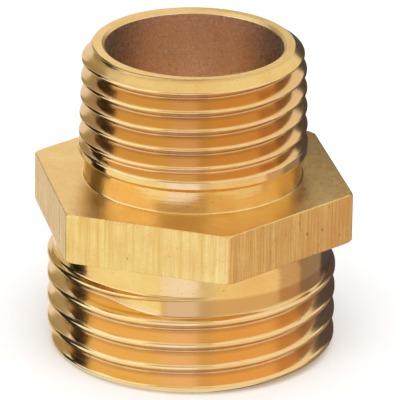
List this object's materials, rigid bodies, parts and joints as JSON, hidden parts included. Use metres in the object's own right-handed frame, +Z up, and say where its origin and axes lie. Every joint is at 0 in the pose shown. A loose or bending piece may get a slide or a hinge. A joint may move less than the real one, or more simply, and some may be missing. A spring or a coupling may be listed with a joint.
{
  "type": "hex nipple",
  "caption": "Brass adapter nipple with a wrench hex between a tapered male pipe thread and a straight male garden hose thread, bored straight through.",
  "frame": {"origin": "centre of the hose end face, on which the part stands", "axes": "+Z up the bore from the hose thread to the pipe thread, X through two hex corners, Y through two wrench flats"},
  "size_m": [0.0312, 0.027, 0.0296],
  "materials": {
    "brass": "machined, lightly polished bare brass"
  },
  "bodies": {
    "root": {"nipple_body": "brass"}
  },
  "joints": []
}
